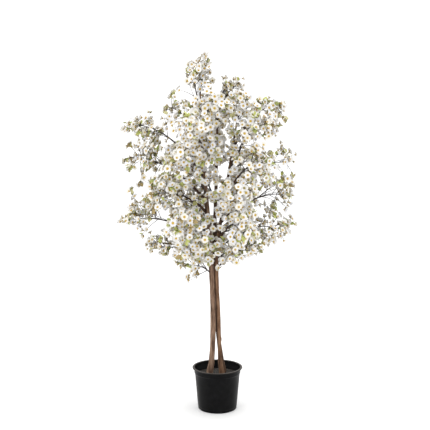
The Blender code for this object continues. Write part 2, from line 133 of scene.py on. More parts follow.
# The crown, tier by tier from the bottom, as in the source: the height at which its sprays leave
# the poles, the height and reach of their tips on the left and on the right, their reach in depth,
# how many sprays, the turn of the first in degrees and how many of them start with a bough. Last
# comes the share of a left-hand spray, from the pole outwards, without side twigs. A right-hand
# spray has half of it.
Tier = namedtuple(
    "Tier",
    "start tip_left reach_left tip_right reach_right reach_depth sprays first_turn boughs bare",
)
TIERS = (
    Tier(0.700, 0.720, 0.19, 0.775, 0.14, 0.17, 3, 205, 0, 0.50),
    Tier(0.770, 0.800, 0.36, 0.830, 0.26, 0.30, 5, 180, 1, 0.45),
    Tier(0.860, 0.945, 0.48, 0.920, 0.39, 0.40, 6, 180, 3, 0.25),
    Tier(0.960, 1.090, 0.44, 1.070, 0.38, 0.41, 5, 0, 2, 0.10),
    Tier(1.060, 1.250, 0.475, 1.230, 0.39, 0.43, 6, 180, 3, 0.10),
    Tier(1.180, 1.410, 0.475, 1.400, 0.36, 0.39, 5, 170, 2, 0.10),
    Tier(1.320, 1.500, 0.29, 1.510, 0.34, 0.27, 4, 0, 2, 0.10),
    Tier(1.450, 1.670, 0.19, 1.620, 0.14, 0.14, 2, 190, 0, 0.10),
)
CROWN_TIPS = {
    "stem_left": (-0.046, -0.015, 1.756),
    "stem_right": (0.200, -0.120, 1.560),
    "stem_back": (0.060, 0.080, 1.640),
}
PATH_SEED = 7
TIER_START_SPREAD = 0.050
TURN_SPREAD = 9.0
TIP_SPREAD = 0.025
SHORTEST_REACH = 0.92
GOLDEN_SHARE = 0.618
BELOW_STEM_TOP = 0.02
ARCH = 0.13
ARCH_AT = 0.50
ARCH_RISE = 0.80
CROWN_ARCH_RISE = 0.60
BOUGH_SHARE = 0.42
TIP_LEAF = 0.040

# The crown's outline: height, reach to the left, to the right and in depth
OUTLINE = (
    (0.640, 0.165, -0.05, 0.06),
    (0.690, 0.175, 0.05, 0.10),
    (0.740, 0.23, 0.09, 0.22),
    (0.800, 0.35, 0.24, 0.31),
    (0.860, 0.36, 0.36, 0.37),
    (0.940, 0.48, 0.39, 0.39),
    (1.020, 0.43, 0.37, 0.39),
    (1.100, 0.44, 0.38, 0.39),
    (1.220, 0.475, 0.385, 0.39),
    (1.320, 0.470, 0.370, 0.38),
    (1.420, 0.475, 0.350, 0.36),
    (1.470, 0.370, 0.345, 0.33),
    (1.520, 0.250, 0.330, 0.28),
    (1.560, 0.235, 0.140, 0.22),
    (1.635, 0.180, 0.135, 0.15),
    (1.662, 0.190, 0.010, 0.13),
    (1.700, 0.160, -0.005, 0.10),
    (1.757, 0.055, -0.025, 0.05),
)
# Open patches where the sky shows through: x, height, half width and half height
OPEN_PATCHES = (
    (0.248, 1.063, 0.056, 0.038),
    (-0.139, 1.563, 0.040, 0.038),
    (-0.301, 0.912, 0.034, 0.050),
    (0.002, 1.592, 0.030, 0.044),
    (0.275, 1.325, 0.034, 0.036),
    (0.335, 1.192, 0.036, 0.036),
    (0.195, 0.973, 0.036, 0.022),
    (-0.450, 1.272, 0.026, 0.026),
    (-0.291, 1.462, 0.024, 0.036),
    (-0.400, 1.149, 0.030, 0.034),
    (-0.450, 1.356, 0.024, 0.022),
    (-0.171, 1.650, 0.024, 0.044),
    (-0.140, 0.744, 0.028, 0.022),
    (0.288, 1.245, 0.020, 0.030),
)

# Furthest tips of the crown, and tips that fill its left side: x and height
FAR_TIPS = (
    (-0.475, 1.420), (-0.445, 1.445), (-0.410, 1.470), (-0.470, 1.385), (-0.465, 1.245),
    (-0.440, 1.310), (-0.380, 1.160), (-0.435, 1.085), (-0.425, 0.990), (-0.390, 1.120),
    (-0.350, 1.200), (-0.340, 0.835), (-0.270, 0.770), (-0.155, 0.665), (-0.110, 0.690),
    (-0.230, 1.560), (-0.170, 1.660), (0.110, 1.640), (0.150, 1.560), (0.330, 1.510),
    (0.340, 1.440), (0.290, 1.375), (0.380, 1.240), (0.330, 1.180), (0.370, 1.060),
    (0.290, 1.010), (0.385, 0.930), (0.350, 0.890), (0.220, 0.800), (0.100, 0.740),
    (-0.330, 1.330), (-0.360, 1.290), (-0.290, 1.380), (-0.340, 1.250), (-0.330, 1.100),
    (-0.300, 1.030), (-0.350, 1.040), (-0.280, 1.160), (-0.360, 1.370), (-0.300, 1.290),
)
FAR_TIP_DEPTH_COST = 0.35
FAR_TIP_START = 0.75
FAR_TIP_LEAF = 0.012
# Tips that cover the poles from in front: depth, step to the side and heights
FRONT_DEPTH = -0.16
FRONT_STEP = 0.07
FRONT_HEIGHTS = [0.80 + 0.028 * step for step in range(27)]
FRONT_START = 4

# Spray stems, side twigs, short twigs on them, long runners and blossoms' stalks
TwigKind = namedtuple("TwigKind", "radius tip_radius steps sides")
STEM = TwigKind(0.0040, 0.0012, 24, 8)
SIDE = TwigKind(0.0017, 0.0008, 7, 5)
SHORT = TwigKind(0.0010, 0.0008, 4, 4)
RUNNER = TwigKind(0.0017, 0.0008, 14, 5)
STALK = TwigKind(0.0007, 0.0007, 2, 3)
SPRAY_SEED = 100
STEM_WANDER = 0.004
WANDER_SCALE = 9.0
WANDER_OFFSETS = (0.0, 31.7, 57.3)
# Side twigs: their spacing, the shares of the stem where they start and end, and how far in its
# own step each may stand
TWIG_SPACING = 0.022
FIRST_TWIG = 0.06
LAST_TWIG = 0.98
TWIG_PLACES = (0.3, 0.7)
TWIG_LENGTH = 0.150
TWIG_TIP_SHARE = 0.50
LONGEST_OF_STEM = 0.60
FEWEST_TWIGS = 4
SHORTER_TWIGS = (1.0, 0.75, 0.55)
TURNS_TRIED = 3
TWIG_MARGIN = 0.010
TWIG_ANGLE = math.radians(58.0)
TWIG_BEND = 0.55
TWIG_END = 0.94
TWIG_RISE = 0.30
TWIG_DROOP = 0.20
NODE_SPACING = 0.017
FIRST_NODE = 0.28
LAST_NODE = 0.97
SHORT_CHANCE = 0.40
SHORT_LENGTH = 0.055
SHORT_MARGIN = 0.012
SHORT_NODES = (0.55, 0.95)
SHORT_LEAN = 0.5
STALK_LENGTH = 0.013
STALK_BOW = 0.0015
# Least and greatest size as a share of the named one
STALK_SIZES = (0.7, 1.3)
SHORT_SIZES = (0.7, 1.3)
TWIG_SIZES = (0.8, 1.15)
BLOSSOM_SIZES = (0.90, 1.08)
LEAF_SIZES = (0.7, 1.12)
# How far blossoms and leaves lean forward along their twig, and a twig's second blossom up
NODE_LEAN = 0.45
SECOND_LEAN = 0.3
SECOND_RISE = 0.4
LEAF_LEAN = 0.5
# How much a blossom or a leaf faces along its stalk, outwards, up and at random
BLOSSOM_FACING = (0.7, 0.8, 0.30, 0.35)
LEAF_FACING = (0.0, 0.4, 0.8, 0.7)
LEAF_CHANCE = 0.18
TIP_LEAF_CHANCE = 0.36
# Share of that chance at a stem's root. It grows by the share along the stem
INNER_TUFTS = 0.4
SECOND_BLOSSOM_CHANCE = 0.75
TUFT_LEAVES = 4
SHORT_TUFT_LEAVES = 2
TUFT_SPACING = 0.006
TUFT_LEAN = 0.8
TUFT_SPREAD = (0.35, 0.9)
TUFT_SAME_TINT = 0.7
STEM_END_STEPS = 8
# Runners, long thin twigs: how many on a spray, and on one whose first part is bare
RUNNERS = 4
BARE_RUNNERS = 6
BARE_SPRAY = 0.3
RUNNER_STARTS = (0.02, 0.30)
RUNNER_ENDS = (0.70, 1.0)
RUNNER_SPREAD = 0.075
RUNNER_ARCH = 0.10
RUNNER_SWAY = 0.015
RUNNER_BARE_STEPS = 7
BLOSSOM_SPACING = 0.0205
LIMB_CLEARANCE = 0.010
SHARED_SPACE = 0.06

# A blossom of radius 1. The rows of a petal are its share along and its share of the half width
PETALS = 5
PETAL_ROWS = ((0.0, 0.20), (0.24, 0.54), (0.62, 1.0), (0.88, 0.80), (1.0, 0.38))
SHEET_COLUMNS = (-1.0, -0.5, 0.0, 0.5, 1.0)
PETAL_HALF_WIDTH = 0.415
PETAL_ROOT = 0.10
PETAL_END = 0.8
PETAL_END_LENGTH = 0.2
PETAL_NOTCH = 0.05
PETAL_ROUNDING = 0.06
PETAL_EDGE_LIFT = 0.07
BLOSSOM_RADIUS = 0.0185
# Slopes of a petal's middle at its root and its tip, in degrees, and how often each shape grows
BLOSSOM_SLOPES = ((40.0, -8.0), (55.0, 5.0), (62.0, 20.0), (75.0, 48.0))
BLOSSOM_SHARES = (0.38, 0.34, 0.18, 0.10)
PETAL_TINTS = {
    "petal_white": (0.765, 0.755, 0.735),
    "petal_ivory": (0.745, 0.725, 0.665),
    "petal_cool": (0.71, 0.71, 0.72),
}
PETAL_TINT_SHARES = (0.5, 0.3, 0.2)
HEART_TINTS = {"stamen_gold": (0.62, 0.42, 0.03), "anther_orange": (0.62, 0.36, 0.02)}
# Rings of stamens: how many, distance out, height and first turn as a share of their spacing
STAMEN_RINGS = ((8, 0.30, 0.20, 0.0), (4, 0.14, 0.26, 0.5))
STAMEN_FOOT = 0.25
STAMEN_HALF_WIDTH = 0.018
STAMEN_THICKNESS = 0.03
ANTHER_RADIUS = 0.060
# The golden heart and the cup under the petals: sides, radius and height of two rings, and tip
HEART = (8, (0.29, 0.055), (0.19, 0.12), 0.13)
CALYX = (6, (0.14, 0.02), (0.09, -0.14), -0.19)
# Corners of a sepal: turn, distance out and height
SEPAL_CORNERS = ((-0.30, 0.13, 0.0), (0.30, 0.13, 0.0), (0.0, 0.40, 0.07), (0.0, 0.24, -0.01))

# A leaf of length 1: rows as for a petal
LEAF_ROWS = ((0.0, 0.06), (0.14, 0.62), (0.36, 0.98), (0.60, 0.90), (0.82, 0.52), (1.0, 0.04))
LEAF_LENGTH = 0.027
LEAF_HALF_WIDTH = 0.37
LEAF_FOLD = 0.14
LEAF_CURLS = (0.10, 0.28, -0.12)
LEAF_TOOTH = 0.02
LEAF_TINTS = {
    "leaf_lime": (0.50, 0.53, 0.16),
    "leaf_green": (0.35, 0.38, 0.11),
    "leaf_olive": (0.30, 0.29, 0.10),
    "leaf_pale": (0.56, 0.53, 0.27),
    "leaf_bronze": (0.36, 0.27, 0.11),
}
TWIG_TINTS = {
    "twig_dark": (0.030, 0.018, 0.012),
    "twig_brown": (0.050, 0.030, 0.018),
    "twig_grey": (0.040, 0.030, 0.024),
}

# The joined pieces, by their first and last tier. The poles' own sprays on top are tier 9
TIER_GROUPS = {
    "lowest": (1, 2), "low": (3, 3), "lower": (4, 4),
    "middle": (5, 5), "upper": (6, 6), "high": (7, 9),
}


def new_object(name, data):
    made = bpy.data.objects.new(name, data)
    bpy.context.scene.collection.objects.link(made)
    return made


def set_inputs(node, values):
    for name, value in values.items():
        node.inputs[name].default_value = value


def node_material(name, roughness, specular):
    material = bpy.data.materials.new(name)
    material.use_nodes = True
    tree = material.node_tree
    shader = tree.nodes["Principled BSDF"]
    set_inputs(shader, {"Roughness": roughness, "Specular IOR Level": specular})
    return material, tree, shader


def plain_material(name, colour, roughness, sheen=0.0, specular=0.5):
    """A material of one colour, for the small pieces of the crown."""
    material, _, shader = node_material(name, roughness, specular)
    set_inputs(shader, {"Base Color": (*colour, 1.0), "Sheen Weight": sheen})
    return material


class Heap:
    """Small shapes gathered into one mesh, each face with its material's number."""

    def __init__(self):
        self.points = []
        self.faces = []
        self.slots = []
        self.count = 0

    def add(self, points, faces, slots):
        """points is (n, 3), faces is (m, corners), slots is one number or m of them."""
        faces = np.asarray(faces)
        self.points.append(np.asarray(points, float))
        self.faces.append(faces + self.count)
        self.slots.append(np.broadcast_to(slots, len(faces)))
        self.count += len(points)

    def add_tube(self, points, sides, slot):
        """A tube whose rings follow each other in its points, with both ends closed."""
        start = self.count
        self.add(points, tube_faces(len(points) // sides, sides), slot)
        first = np.arange(start + sides - 1, start - 1, -1)
        last = np.arange(self.count - sides, self.count)
        self.faces.append(np.stack([first, last]))
        self.slots.append(np.full(2, slot))

    def build(self, name, materials):
        faces = [face for group in self.faces for face in group.tolist()]
        mesh = bpy.data.meshes.new(name)
        mesh.from_pydata(np.concatenate(self.points), [], faces, shade_flat=False)
        mesh.polygons.foreach_set("material_index", np.concatenate(self.slots).astype(np.int32))
        for material in materials:
            mesh.materials.append(material)
        mesh.validate()
        return new_object(name, mesh)


def tube_faces(rings, sides):
    """Side faces of a tube whose rings follow each other in its points."""
    level, side = np.meshgrid(np.arange(rings - 1), np.arange(sides), indexing="ij")
    low = (level * sides + side).ravel()
    next_low = (level * sides + (side + 1) % sides).ravel()
    return np.stack([low, next_low, next_low + sides, low + sides], axis=1)


def tube_points(line, radii, sides):
    """Rings round a line, turned as little as possible from one to the next."""
    points = []
    across = None
    for place, centre in enumerate(line):
        before = line[max(place - 1, 0)]
        after = line[min(place + 1, len(line) - 1)]
        along = (after - before).normalized()
        if across is None:
            across = along.orthogonal()
        across = (across - along * across.dot(along)).normalized()
        points += [centre + aside(along, across, turn) * radii[place] for turn in turns(sides)]
    return points


def turns(count):
    """Even turns once round, in radians."""
    return [2 * math.pi * step / count for step in range(count)]


def ring(radius, height, sides):
    return [(radius * math.cos(turn), radius * math.sin(turn), height) for turn in turns(sides)]


def aside(along, across, turn):
    """The direction square to along that is turned from across by turn."""
    return across * math.cos(turn) + along.cross(across) * math.sin(turn)


def sideways(along, turn):
    return aside(along, along.orthogonal().normalized(), turn)


def tapering(first, last, steps):
    return [first + (last - first) * step / steps for step in range(steps + 1)]


def bezier(start, bend, end, share):
    return start * (1 - share) ** 2 + bend * 2 * share * (1 - share) + end * share**2


def curve(start, bend, end, steps, first=0.0, last=1.0):
    """Points of a curve from one share of it to another."""
    return [bezier(start, bend, end, share) for share in tapering(first, last, steps)]


def direction(turn):
    return Vector((math.cos(turn), math.sin(turn), 0.0))


# The poles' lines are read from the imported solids, whose rings are level
def pole_line(name):
    """Heights, centres and radii of a pole's rings."""
    points = np.array([vertex.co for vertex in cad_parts[name].data.vertices])
    points = np.unique(points.round(5), axis=0)
    heights = np.unique(points[:, 2].round(4))
    centres = []
    radii = []
    for height in heights:
        level = points[abs(points[:, 2] - height) < SAME_HEIGHT]
        centres.append(level.mean(axis=0)[:2])
        radii.append(np.linalg.norm(level[:, :2] - centres[-1], axis=1).mean())
    return heights, np.array(centres), np.array(radii)


POLES = {name: pole_line(name) for name in ("stem_left", "stem_right", "stem_back")}


def pole_centre(name, height):
    heights, centres, _ = POLES[name]
    x = np.interp(height, heights, centres[:, 0])
    y = np.interp(height, heights, centres[:, 1])
    return Vector((x, y, height))


def pole_radius(name, height):
    heights, _, radii = POLES[name]
    return float(np.interp(height, heights, radii))


def pole_top(name):
    return float(POLES[name][0][-1])


Path = namedtuple("Path", "name start bend tip carrier tier bare")


def outermost_stem(height, turn):
    """The pole that reaches this height and lies furthest out towards this turn."""
    reaching = [stem for stem in POLES if pole_top(stem) > height + BELOW_STEM_TOP]
    return max(reaching, key=lambda stem: pole_centre(stem, height).dot(direction(turn)))


def spray_paths():
    """Every spray's path from its pole's axis to its tip, by the source's rule."""
    chance = random.Random(PATH_SEED)
    paths = []
    for level, tier in enumerate(TIERS, start=1):
        spacing = 360.0 / tier.sprays
        every = tier.sprays / max(tier.boughs, 1)
        with_bough = {math.ceil(every * number) for number in range(tier.boughs)}
        for number in range(tier.sprays):
            main = number == 0
            off = 0.0 if main else chance.uniform(-TURN_SPREAD, TURN_SPREAD)
            turn = math.radians(tier.first_turn + spacing * number + off)
            height = tier.start + TIER_START_SPREAD * (number * GOLDEN_SHARE % 1.0 - 0.5)
            stem = outermost_stem(height, turn)
            start = pole_centre(stem, height)
            share = math.cos(turn) ** 2
            left = math.cos(turn) < 0
            side_reach = tier.reach_left if left else tier.reach_right
            side_tip = tier.tip_left if left else tier.tip_right
            middle_tip = (tier.tip_left + tier.tip_right) / 2
            reach = side_reach * share + tier.reach_depth * (1 - share)
            tip_height = side_tip * share + middle_tip * (1 - share)
            tip_height += 0.0 if main else chance.uniform(-TIP_SPREAD, TIP_SPREAD)
            reach *= 1.0 if main else chance.uniform(SHORTEST_REACH, 1.0)
            tip = direction(turn) * (reach - TIP_LEAF) + Vector((0, 0, tip_height))
            bend = start.lerp(tip, ARCH_AT)
            bend.z = height + (tip_height - height) * ARCH_RISE + ARCH * reach
            carrier = "bough" if number in with_bough else "side"
            bare = tier.bare if left else tier.bare / 2
            name = f"{level}_{number + 1}"
            paths.append(Path(name, start, bend, tip, carrier, level, bare))
    for stem, (x, y, z) in CROWN_TIPS.items():
        start = pole_centre(stem, pole_top(stem))
        tip = Vector((x, y, z - TIP_LEAF))
        bend = start + UP * (tip.z - start.z) * CROWN_ARCH_RISE
        name = stem.replace("stem", "crown")
        paths.append(Path(name, start, bend, tip, "top", len(TIERS) + 1, 0.0))
    return paths


def wander(point):
    """A smooth vector field, the same in every run."""
    return Vector([noise.noise(point + UP * offset) for offset in WANDER_OFFSETS])


def spine_of(path):
    """The line of a spray's own stem, which wanders a little between its fixed ends."""
    first = BOUGH_SHARE if path.carrier == "bough" else 0.0
    line = curve(path.start, path.bend, path.tip, STEM.steps, first)
    for step, point in enumerate(line):
        swing = math.sin(math.pi * step / STEM.steps) * STEM_WANDER
        line[step] = point + wander(point * WANDER_SCALE) * swing
    return line


class Crown:
    """Where foliage may grow: inside the outline, off the open patches and the poles, near its own
    spray and not on top of another blossom."""

    def __init__(self, spines):
        self.samples = np.array([tuple(point) for line in spines for point in line])
        self.owner = np.repeat(np.arange(len(spines)), STEM.steps + 1)
        self.outline = np.array(OUTLINE)
        self.cells = {}

    def inside(self, point, margin=0.0):
        x, y, z = point
        table = self.outline
        if not table[0, 0] <= z <= table[-1, 0]:
            return False
        left, right, depth = (np.interp(z, table[:, 0], table[:, column]) for column in (1, 2, 3))
        middle = (right - left) / 2
        half = (right + left) / 2 - margin
        depth = depth - margin
        return half > 0 and ((x - middle) / half) ** 2 + (y / depth) ** 2 <= 1

    def open_patch(self, point):
        x, _, z = point
        for at_x, at_z, half_width, half_height in OPEN_PATCHES:
            if ((x - at_x) / half_width) ** 2 + ((z - at_z) / half_height) ** 2 < 1:
                return True
        return False

    def on_limb(self, point):
        for name in POLES:
            gap = (point - pole_centre(name, point.z)).length
            if point.z < pole_top(name) and gap < pole_radius(name, point.z) + LIMB_CLEARANCE:
                return True
        return False

    def free(self, point, margin=0.0):
        return self.inside(point, margin) and not self.open_patch(point) and not self.on_limb(point)

    def near_own(self, point, number):
        """True if the spray of this number is about as near as any."""
        gaps = np.linalg.norm(self.samples - np.array(point), axis=1)
        own = gaps[self.owner == number].min()
        return own <= gaps.min() + SHARED_SPACE

    def crowded(self, point):
        """True if a blossom is too near. Otherwise the place now counts as taken."""
        cell = tuple(int(value // BLOSSOM_SPACING) for value in point)
        for steps in product((-1, 0, 1), repeat=3):
            beside = tuple(place + step for place, step in zip(cell, steps))
            for other in self.cells.get(beside, ()):
                if (other - point).length < BLOSSOM_SPACING:
                    return True
        self.cells.setdefault(cell, []).append(point)
        return False


Blossom = namedtuple("Blossom", "place facing roll size shape tint")
Leaf = namedtuple("Leaf", "place along facing size shape tint")


def random_vector(chance):
    return Vector((chance.gauss(0, 1), chance.gauss(0, 1), chance.gauss(0, 1))).normalized()


def outward(point):
    return Vector((point.x, point.y, 0.0)).normalized() if point.xy.length > 1e-6 else UP


def mixed_facing(way, place, weights, chance):
    """A direction mixed from the stalk's own, outwards, up and a random one."""
    along, out, up, loose = weights
    mixed = way * along + outward(place) * out + UP * up + random_vector(chance) * loose
    return mixed.normalized()


def twig_line(base, along, out, length, steps):
    """A side twig that leaves its stem at an angle, rises, and droops towards its end."""
    way = along * math.cos(TWIG_ANGLE) + out * math.sin(TWIG_ANGLE) + UP * TWIG_RISE
    way.normalize()
    bend = base + way * length * TWIG_BEND
    end = base + way * length * TWIG_END - UP * TWIG_DROOP * length
    return curve(base, bend, end, steps)


def point_on(line, share):
    """The point at this share of a line, and the line's direction there."""
    place = share * (len(line) - 1)
    step = min(int(place), len(line) - 2)
    return line[step].lerp(line[step + 1], place - step), (line[step + 1] - line[step]).normalized()


def end_way(line):
    return (line[-1] - line[-2]).normalized()


def length_of(line):
    return sum((after - before).length for before, after in zip(line, line[1:]))


class Spray:
    """One spray of the crown: its stem and twigs, and the blossoms and leaves that they bear."""

    def __init__(self, number, crown):
        self.number = number
        self.crown = crown
        self.chance = random.Random(SPRAY_SEED + number)
        self.twigs = []
        self.blossoms = []
        self.leaves = []

    def room(self, place, margin=0.0):
        return self.crown.free(place, margin) and self.crown.near_own(place, self.number)

    def any_turn(self):
        return self.chance.uniform(0, 2 * math.pi)

    def add_twig(self, line, kind):
        radii = tapering(kind.radius, kind.tip_radius, kind.steps)
        self.twigs.append((line, radii, kind.sides))

    def add_blossom(self, base, way):
        """A blossom on a short stalk, if there is room for it."""
        chance = self.chance
        place = base + way * (STALK_LENGTH * chance.uniform(*STALK_SIZES))
        if not self.room(place) or self.crown.crowded(place):
            return
        facing = mixed_facing(way, place, BLOSSOM_FACING, chance)
        stalk = [base, base.lerp(place, 0.5) + UP * STALK_BOW, place]
        self.add_twig(stalk, STALK)
        size = BLOSSOM_RADIUS * chance.uniform(*BLOSSOM_SIZES)
        shape = chance.choices(range(len(BLOSSOM_SLOPES)), BLOSSOM_SHARES)[0]
        tint = chance.choices(range(len(PETAL_TINTS)), PETAL_TINT_SHARES)[0]
        self.blossoms.append(Blossom(place, facing, self.any_turn(), size, shape, tint))

    def add_leaf(self, base, way, tint):
        if not self.crown.free(base + way * LEAF_LENGTH):
            return
        facing = mixed_facing(way, base, LEAF_FACING, self.chance)
        size = LEAF_LENGTH * self.chance.uniform(*LEAF_SIZES)
        shape = self.chance.randrange(len(LEAF_CURLS))
        self.leaves.append(Leaf(base, way, facing, size, shape, tint))

    def add_tuft(self, base, way, count):
        """A few leaves at a twig's end, mostly of one tint."""
        chance = self.chance
        tint = chance.randrange(len(LEAF_TINTS))
        turn = self.any_turn()
        for step in range(count):
            turn += GOLDEN_TURN
            spread = chance.uniform(*TUFT_SPREAD)
            lean = (way * TUFT_LEAN + sideways(way, turn) * spread).normalized()
            own_tint = tint if chance.random() < TUFT_SAME_TINT else chance.randrange(len(LEAF_TINTS))
            self.add_leaf(base - way * TUFT_SPACING * step, lean, own_tint)

    def add_short_twig(self, base, along, out):
        """A short twig with up to two blossoms and sometimes a tuft of leaves."""
        length = SHORT_LENGTH * self.chance.uniform(*SHORT_SIZES)
        line = twig_line(base, along, out, length, SHORT.steps)
        if not self.crown.free(line[-1], SHORT_MARGIN):
            return
        self.add_twig(line, SHORT)
        turn = self.any_turn()
        for share in SHORT_NODES:
            point, way = point_on(line, share)
            turn += GOLDEN_TURN
            self.add_blossom(point, (way * SHORT_LEAN + sideways(way, turn)).normalized())
        if self.chance.random() < TIP_LEAF_CHANCE:
            self.add_tuft(line[-1], end_way(line), SHORT_TUFT_LEAVES)

    def dress(self, line, leafy):
        """Blossoms, short twigs and leaves along a twig, and at its end perhaps a tuft."""
        chance = self.chance
        nodes = max(2, round(length_of(line) * (1 - FIRST_NODE) / NODE_SPACING))
        turn = self.any_turn()
        for node in range(nodes):
            share = FIRST_NODE + (LAST_NODE - FIRST_NODE) * node / (nodes - 1)
            point, way = point_on(line, share)
            turn += GOLDEN_TURN
            out = sideways(way, turn)
            if chance.random() < SHORT_CHANCE and node < nodes - 1:
                self.add_short_twig(point, way, out)
            else:
                self.add_blossom(point, (way * NODE_LEAN + out).normalized())
                if chance.random() < SECOND_BLOSSOM_CHANCE:
                    lean = (way * SECOND_LEAN - out + UP * SECOND_RISE).normalized()
                    self.add_blossom(point, lean)
            if chance.random() < LEAF_CHANCE:
                lean = (way * LEAF_LEAN - out).normalized()
                self.add_leaf(point, lean, chance.randrange(len(LEAF_TINTS)))
        if chance.random() < leafy:
            self.add_tuft(line[-1], end_way(line), TUFT_LEAVES)

    def add_runner(self, start, end):
        """A long thin twig, bare for its first half and dressed towards its end."""
        rise = UP * RUNNER_ARCH * (end - start).length
        bend = start.lerp(end, 0.5) + rise + random_vector(self.chance) * RUNNER_SWAY
        line = curve(start, bend, end, RUNNER.steps)
        self.add_twig(line, RUNNER)
        self.dress(line[RUNNER_BARE_STEPS:], TIP_LEAF_CHANCE)

    def add_side_twig(self, stem, share, turn):
        """The first of some turns and lengths that has room. Returns the last turn tried."""
        base, along = point_on(stem, share)
        longest = TWIG_LENGTH * (1 - (1 - TWIG_TIP_SHARE) * share) * self.chance.uniform(*TWIG_SIZES)
        longest = min(longest, length_of(stem) * LONGEST_OF_STEM)
        for attempt in range(len(SHORTER_TWIGS) * TURNS_TRIED):
            turn += GOLDEN_TURN
            length = longest * SHORTER_TWIGS[attempt // TURNS_TRIED]
            line = twig_line(base, along, sideways(along, turn), length, SIDE.steps)
            if self.room(line[-1], TWIG_MARGIN):
                self.add_twig(line, SIDE)
                self.dress(line, TIP_LEAF_CHANCE * (INNER_TUFTS + share))
                break
        return turn

    def grow(self, stem, bare):
        """The stem, its side twigs and its runners, with what they bear."""
        chance = self.chance
        self.add_twig(stem, STEM)
        count = max(FEWEST_TWIGS, round(length_of(stem) / TWIG_SPACING))
        turn = self.any_turn()
        first = max(FIRST_TWIG, bare)
        for grown in range(count):
            place = grown + chance.uniform(*TWIG_PLACES)
            turn = self.add_side_twig(stem, first + (LAST_TWIG - first) * place / count, turn)
        for _ in range(BARE_RUNNERS if bare > BARE_SPRAY else RUNNERS):
            start = point_on(stem, chance.uniform(*RUNNER_STARTS))[0]
            end = point_on(stem, chance.uniform(*RUNNER_ENDS))[0]
            end = end + random_vector(chance) * RUNNER_SPREAD
            if self.crown.inside(end) and not self.crown.open_patch(end):
                self.add_runner(start, end)
        self.dress(stem[-STEM_END_STEPS:], 1.0)


def nearest_start(spines, x, height):
    """The number of the spray nearest to a far tip and the nearest point of its stem."""
    starts = []
    for number, line in enumerate(spines):
        for point in line[:round(len(line) * FAR_TIP_START)]:
            cost = math.hypot(point.x - x, point.z - height)
            cost += abs(point.y) * FAR_TIP_DEPTH_COST
            starts.append((cost, number, point))
    _, number, start = min(starts, key=lambda found: found[0])
    return number, start


def grow_named_tips(sprays, spines, crown):
    """Runners to the far tips and to the tips in front of the poles, all from one seed."""
    chance = random.Random(SPRAY_SEED)
    for spray in sprays:
        spray.chance = chance
    for x, height in FAR_TIPS:
        number, start = nearest_start(spines, x, height)
        end = Vector((x - math.copysign(FAR_TIP_LEAF, x), start.y, height))
        sprays[number].add_runner(start, end)
        sprays[number].add_tuft(end, (end - start).normalized(), TUFT_LEAVES)
    for step, height in enumerate(FRONT_HEIGHTS):
        end = Vector((FRONT_STEP * (step % 3 - 1), FRONT_DEPTH, height))
        nearest = np.linalg.norm(crown.samples - np.array(end), axis=1).argmin()
        number = int(crown.owner[nearest])
        sprays[number].add_runner(spines[number][FRONT_START], end)


def petal_middle(first_slope, last_slope):
    """Distance out and height along a petal's middle, whose slope changes evenly in degrees."""
    out, up = 0.0, 0.0
    last = 0.0
    places = []
    for share, _ in PETAL_ROWS:
        slope = math.radians(first_slope + (last_slope - first_slope) * (share + last) / 2)
        out += (share - last) * math.cos(slope)
        up += (share - last) * math.sin(slope)
        last = share
        places.append((PETAL_ROOT + out * (1 - PETAL_ROOT), up))
    return places


def sheet_faces(rows, columns):
    """Faces of a sheet whose rows of points follow each other."""
    lows = [row * columns + column for row in range(rows - 1) for column in range(columns - 1)]
    return np.array([(low, low + columns, low + columns + 1, low + 1) for low in lows])


def petal_shapes(first_slope, last_slope):
    """The five petals of a blossom of radius 1, with slot 1 for their roots, the throat."""
    middle = petal_middle(first_slope, last_slope)
    points = []
    for turn in turns(PETALS):
        for (share, wide), (out, up) in zip(PETAL_ROWS, middle):
            for column in SHEET_COLUMNS:
                end = max(0.0, share - PETAL_END) / PETAL_END_LENGTH
                notch = PETAL_NOTCH * end * (1 - abs(column))
                reach = out - notch - PETAL_ROUNDING * end * column**2
                side = column * wide * PETAL_HALF_WIDTH
                lift = PETAL_EDGE_LIFT * column**2 * math.sin(math.pi * share)
                x = reach * math.cos(turn) - side * math.sin(turn)
                y = reach * math.sin(turn) + side * math.cos(turn)
                points.append((x, y, up + lift))
    columns = len(SHEET_COLUMNS)
    sheet = sheet_faces(len(PETAL_ROWS), columns)
    petal_starts = range(0, len(points), len(PETAL_ROWS) * columns)
    faces = np.concatenate([sheet + start for start in petal_starts])
    roots = np.tile(np.arange(len(sheet)) < columns - 1, PETALS)
    return np.array(points), faces, roots.astype(int)


def anther_shape(centre, radius):
    """Two three-sided pyramids, base to base."""
    points = [centre + np.array(corner) for corner in ring(radius, 0.0, 3)]
    points += [centre - np.array((0.0, 0.0, radius)), centre + np.array((0.0, 0.0, radius))]
    faces = [(1, 0, 3), (2, 1, 3), (0, 2, 3), (0, 1, 4), (1, 2, 4), (2, 0, 4)]
    return points, faces


def blossom_template(slopes):
    """The pieces of one blossom, each with its points, faces and slots: 0 petal, 1 throat,
    2 stamen, 3 anther, 4 calyx."""
    pieces = [petal_shapes(*slopes)]
    for count, reach, height, first_turn in STAMEN_RINGS:
        for step in range(count):
            turn = 2 * math.pi * (step + first_turn) / count
            tip = np.array((reach * math.cos(turn), reach * math.sin(turn), height))
            foot = tip * (STAMEN_FOOT, STAMEN_FOOT, 0.0)
            side = np.array((-math.sin(turn), math.cos(turn), 0.0)) * STAMEN_HALF_WIDTH
            rise = np.array((0.0, 0.0, STAMEN_THICKNESS))
            stalk = [foot + side, foot - side, foot + rise, tip]
            pieces.append((np.array(stalk), np.array([(0, 1, 3), (1, 2, 3), (2, 0, 3)]), 2))
            anther, anther_faces = anther_shape(tip, ANTHER_RADIUS)
            pieces.append((np.array(anther), np.array(anther_faces), 3))
    return pieces + [heart_dome(), calyx_cup(), sepals()]


